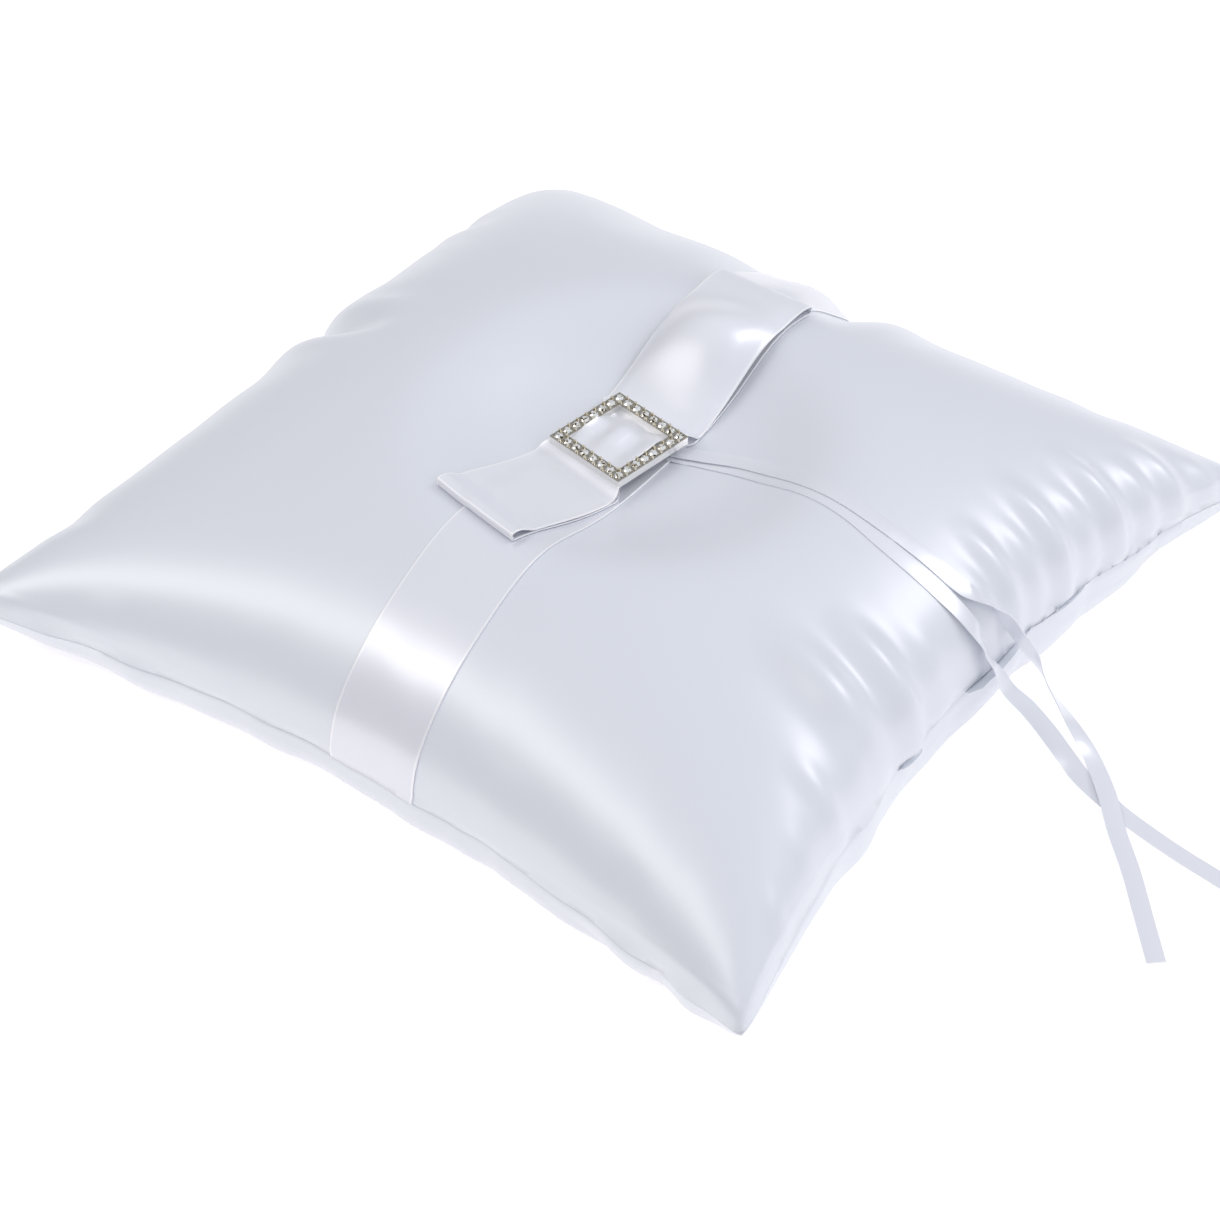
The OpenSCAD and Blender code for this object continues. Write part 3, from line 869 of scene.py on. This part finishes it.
def stitch(line, radius, sides=6):
    """Rings of points and faces of one closed thread along a line."""
    run = unit(np.gradient(line, axis=0))
    level = unit(np.cross(run, [0.3, 0.2, 1.0]))
    rise = np.cross(run, level)
    angles = np.linspace(0, 2 * math.pi, sides, endpoint=False)
    thick = radius * np.sqrt(np.clip(1 - np.linspace(-0.93, 0.93, len(line)) ** 4, 0, 1))
    verts = [line[k] + thick[k] * (math.cos(a) * level[k] + math.sin(a) * rise[k])
             for k in range(len(line)) for a in angles]
    faces = [list(range(sides))[::-1], [(len(line) - 1) * sides + k for k in range(sides)]]
    for k in range(len(line) - 1):
        for n in range(sides):
            after = (n + 1) % sides
            faces.append([k * sides + n, k * sides + after, (k + 1) * sides + after, (k + 1) * sides + n])
    return verts, faces


def stitches_object(name, lines, radius):
    """One object of many separate stitches."""
    verts, faces = [], []
    for line in lines:
        more, between = stitch(line, radius)
        faces += [[corner + len(verts) for corner in face] for face in between]
        verts += more
    return new_object(name, verts, faces, THREAD)


def seam_line(top):
    """The four sides of the seam between the corners: their points and outward directions."""
    panel = top[LIPS:-LIPS, LIPS:-LIPS]
    for line, inside in ((panel[0], panel[6]), (panel[-1], panel[-7]),
                         (panel[:, 0], panel[:, 6]), (panel[:, -1], panel[:, -7])):
        yield line, unit((line - inside) * [1, 1, 0])


def make_seam_thread(top):
    """Lockstitches of the perimeter seam, just inside the turned edges."""
    pitch, length = 2.6 * MM, 2.1 * MM
    first, last = 4 * MM, 6 * MM             # from a corner to the first stitch, and from the last one
    inside = 0.9 * MM
    lines = []
    for line, outward in seam_line(top):
        inner = line - outward * inside - [0, 0, SEAM_MOUTH]
        reach = path_reach(inner)
        for start in np.arange(first, reach[-1] - last, pitch):
            lines.append(at_reach(inner, reach, np.linspace(start, start + length, 5)))
    belongs(stitches_object("seam_stitches", lines, 0.14 * MM), "thread", "seam_thread")


def make_closing_stitches(top):
    """Slanted hand stitches over the gap through which the cover was filled, on the +X edge."""
    line, outward = list(seam_line(top))[1]
    order = np.argsort(line[:, 1])
    line, outward = line[order], outward[order]
    half_run, half_rise = 0.8 * MM, 0.7 * MM
    proud, sunk = 0.35 * MM, 0.9 * MM        # a stitch's middle stands out, and its ends go into the cloth
    lines = []
    for place in np.arange(19, 73, 4.2) * MM:
        at = at_reach(line, line[:, 1], place)
        out = at_reach(outward, line[:, 1], place)
        along = np.array([-out[1], out[0], 0])
        turns = np.linspace(-1, 1, 7)[:, None]
        lines.append(at - [0, 0, SEAM_MOUTH] + along * turns * half_run + [0, 0, 1] * turns * half_rise
                     + out * (proud - sunk * turns**2))
    belongs(stitches_object("hand_stitches", lines, 0.17 * MM), "thread", "closing_stitches")


def make_band(top):
    """The wide ribbon over the cushion, sewn into its near and far seams."""
    middle = band_middle(top)
    middle = middle - grid_normals(middle) * (CLOTH / 2 + BAND_GAP + INNER_THICK[0] / 2)
    reach = path_reach(middle[:, middle.shape[1] // 2])
    weave = tape_uvs(reach, WIDE_SHARES * BAND_HALF)
    band = cloth_object("band", middle[:, ::-1], WIDE_THICK, BAND_SATIN, weave)
    belongs(band, "wide_ribbon", "centre_band")
    return band


def make_bow(height):
    """The folded ribbon that the buckle holds."""
    middle = bow_middle(height)
    reach = path_reach(middle[:, middle.shape[1] // 2])
    bow = cloth_object("bow", middle, WIDE_THICK, BOW_SATIN, tape_uvs(reach, WIDE_SHARES * BOW_HALF))
    belongs(bow, "wide_ribbon", "bow_ribbon")


def bed(line, height):
    """Height of what is under a narrow ribbon and its slope across the ribbon, in degrees."""
    level = unit(np.cross([0, 0, 1], unit(np.gradient(line, axis=0))))
    left, middle, right = [np.array([height(x, y) for x, y, _ in line + level * aside])
                           for aside in (TAIL_HALF, 0, -TAIL_HALF)]
    slope = np.degrees(np.arctan2(smooth_run(left - right, 9), 2 * TAIL_HALF))
    return np.maximum(middle, (left + right) / 2), slope


def make_tail(node, height, lift, route, twist):
    """A ring ribbon. It lies on what is under it up to the cushion's edge, then falls to the table.

    lift is its height above that, and route and twist are the lists at the top.
    """
    line = along_route(route, TAIL_SPACING)
    reach = path_reach(line)
    share = reach / reach[-1]
    over, slope = bed(line, height)
    laid = np.maximum(over + lift, np.where(line[:, 0] < EDGE_X, 0, line[:, 2]))
    on_cushion = 1 - ease(line[:, 0], EDGE_X - 8 * MM, EDGE_X)
    line[:, 2] = np.maximum(line[:, 2] + (laid - line[:, 2]) * on_cushion, over + lift / 2)
    line[2:-2, 2] = smooth_run(line[:, 2], 5)[2:-2]
    turns = np.interp(share, *zip(*twist))
    above_table = TAIL_HALF * np.abs(np.sin(np.radians(turns))) + 0.3 * MM
    line[:, 2] = np.maximum(line[:, 2], above_table)
    middle = tape_middle(line, turns + slope * on_cushion, TAIL_HALF)
    reach = path_reach(line)
    across = np.linspace(-TAIL_HALF, TAIL_HALF, middle.shape[1])
    tail = cloth_object(node + "_laid", middle, TAIL_THICK, TAIL_SATIN, tape_uvs(reach, across))
    belongs(tail, "narrow_ribbon", node)
    return tail


def cut_stone(at):
    """Points and faces of one round stone: a flat table, a ring of facets and a point below."""
    half = 1.05 * MM
    sides = 8
    verts = []
    for radius, height, turn in ((0.55, 0.42 * MM, 0), (0.84, 0.24 * MM, 22.5), (1.0, 0, 0)):
        for k in range(sides):
            angle = math.radians(360 / sides * k + turn)
            rim = Vector((math.cos(angle), math.sin(angle), 0)) * radius * half
            verts.append(at + rim + Vector((0, 0, height)))
    verts.append(at - Vector((0, 0, 0.8 * MM)))
    point = len(verts) - 1
    faces = [list(range(sides))]
    for k in range(sides):
        after = (k + 1) % sides
        table, table_after = k, after
        facet = sides + k
        girdle, girdle_after = 2 * sides + k, 2 * sides + after
        faces += [[table, facet, table_after], [facet, girdle_after, table_after],
                  [facet, girdle, girdle_after], [table, girdle, facet], [girdle, point, girdle_after]]
    return verts, faces


def make_stones():
    """Round stones in one row round the buckle's frame."""
    pitch = 2.6 * MM
    across = 7
    verts, faces = [], []
    for side in range(4):
        turn = Matrix.Rotation(math.radians(BUCKLE_TURN + 90 * side), 3, "Z")
        for place in range(across):
            at = turn @ Vector(((place - across / 2) * pitch, -across * pitch / 2, 0))
            more, between = cut_stone(Vector((BUCKLE.x, BUCKLE.y, STONE_SEAT)) + at)
            faces += [[corner + len(verts) for corner in face] for face in between]
            verts += more
    stones = new_object("stones", verts, faces, STONE, smooth=False)
    belongs(stones, "stone", "rhinestones")


# ---- stage ----

def place_camera():
    """The view from the near right, above the table."""
    azimuth, elevation = math.radians(36.67), math.radians(43.37)
    back = Vector((math.sin(azimuth) * math.cos(elevation), -math.cos(azimuth) * math.cos(elevation),
                   math.sin(elevation)))
    aim = Vector((2.52, -11.27, 0)) * MM
    distance = 0.692
    data = bpy.data.cameras.new("camera")
    data.lens = 92.2
    camera = bpy.data.objects.new("camera", data)
    camera.location = aim + back * distance
    camera.rotation_mode = "QUATERNION"
    camera.rotation_quaternion = (-back).to_track_quat("-Z", "Y")
    bpy.context.scene.collection.objects.link(camera)
    bpy.context.scene.camera = camera


def strip_light(name, direction, distance, size, power, long_axis, colour):
    """A rectangular soft light that faces the pillow, with its long side turned towards long_axis."""
    aim = Vector(direction).normalized()
    long_side = (Vector(long_axis) - aim * aim.dot(Vector(long_axis))).normalized()
    data = bpy.data.lights.new(name, "AREA")
    data.shape = "RECTANGLE"
    data.size, data.size_y = size
    data.energy = power
    data.color = colour
    light = bpy.data.objects.new(name, data)
    turn = Matrix((long_side, aim.cross(long_side), aim)).transposed()
    light.matrix_world = Matrix.Translation(aim * distance) @ turn.to_4x4()
    bpy.context.scene.collection.objects.link(light)


def make_floor():
    """A pale plane that glows a little, so that it stays plain."""
    material, _, shader = new_material("floor")
    shader.inputs["Base Color"].default_value = (0.9, 0.9, 0.9, 1)
    shader.inputs["Roughness"].default_value = 0.9
    shader.inputs["Emission Color"].default_value = (1, 0.95, 0.94, 1)
    shader.inputs["Emission Strength"].default_value = 0.39
    half = 3.0
    corners = [(-half, -half, 0), (half, -half, 0), (half, half, 0), (-half, half, 0)]
    floor = new_object("floor", corners, [(0, 1, 2, 3)], material)


def make_world():
    """Soft studio surroundings: bright overhead and to the back right, dim near the horizon."""
    world = bpy.data.worlds.new("studio")
    world.use_nodes = True
    tree = world.node_tree
    place = tree.nodes.new("ShaderNodeTexCoord")
    facing = tree.nodes.new("ShaderNodeVectorMath")
    facing.operation = "DOT_PRODUCT"
    facing.inputs[1].default_value = Vector((0.35, 0.25, 0.9)).normalized()
    ramp = tree.nodes.new("ShaderNodeValToRGB")
    ramp.color_ramp.elements[0].position = 0.0
    ramp.color_ramp.elements[0].color = (0.36, 0.36, 0.38, 1)
    ramp.color_ramp.elements[1].position = 0.9
    ramp.color_ramp.elements[1].color = (0.90, 0.93, 0.98, 1)
    tree.links.new(place.outputs["Generated"], facing.inputs[0])
    tree.links.new(facing.outputs["Value"], ramp.inputs["Fac"])
    background = tree.nodes["Background"]
    tree.links.new(ramp.outputs["Color"], background.inputs["Color"])
    background.inputs["Strength"].default_value = 0.87
    bpy.context.scene.world = world


def make_stage():
    """Floor, surroundings and lights."""
    make_floor()
    make_world()
    strip_light("front", direction=(-0.45, -0.47, 0.76), distance=1.2, size=(1.5, 0.3), power=3.6,
                long_axis=(1, 0, 0), colour=(1, 0.95, 0.89))
    strip_light("back", direction=(0.38, 0.58, 0.73), distance=1.3, size=(0.5, 0.26), power=2.3,
                long_axis=(0, 1, 0), colour=(1, 0.97, 0.98))
    bpy.context.scene.view_settings.view_transform = "Standard"


def finish_frame_nodes():
    """Gives the CAD nodes that are kept their materials."""
    kept = (("buckle_frame", SILVER, "buckle_metal"), ("tack_thread", THREAD, "thread"))
    for node, material, slot in kept:
        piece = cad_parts[node]
        piece.data.materials.clear()
        piece.data.materials.append(material)


cover, top_grid, back_grid = make_cover()
make_fill(top_grid, back_grid)
make_seam_thread(top_grid)
make_closing_stitches(top_grid)
band = make_band(top_grid)
on_band = height_finder(cover, band)
make_bow(on_band)
lower = make_tail("ring_ribbon_lower", on_band, 0.25 * MM, LOWER_ROUTE, LOWER_TWIST)
on_lower = height_finder(cover, band, lower)
make_tail("ring_ribbon_upper", on_lower, 0.3 * MM, UPPER_ROUTE, UPPER_TWIST)
make_stones()
finish_frame_nodes()
place_camera()
make_stage()
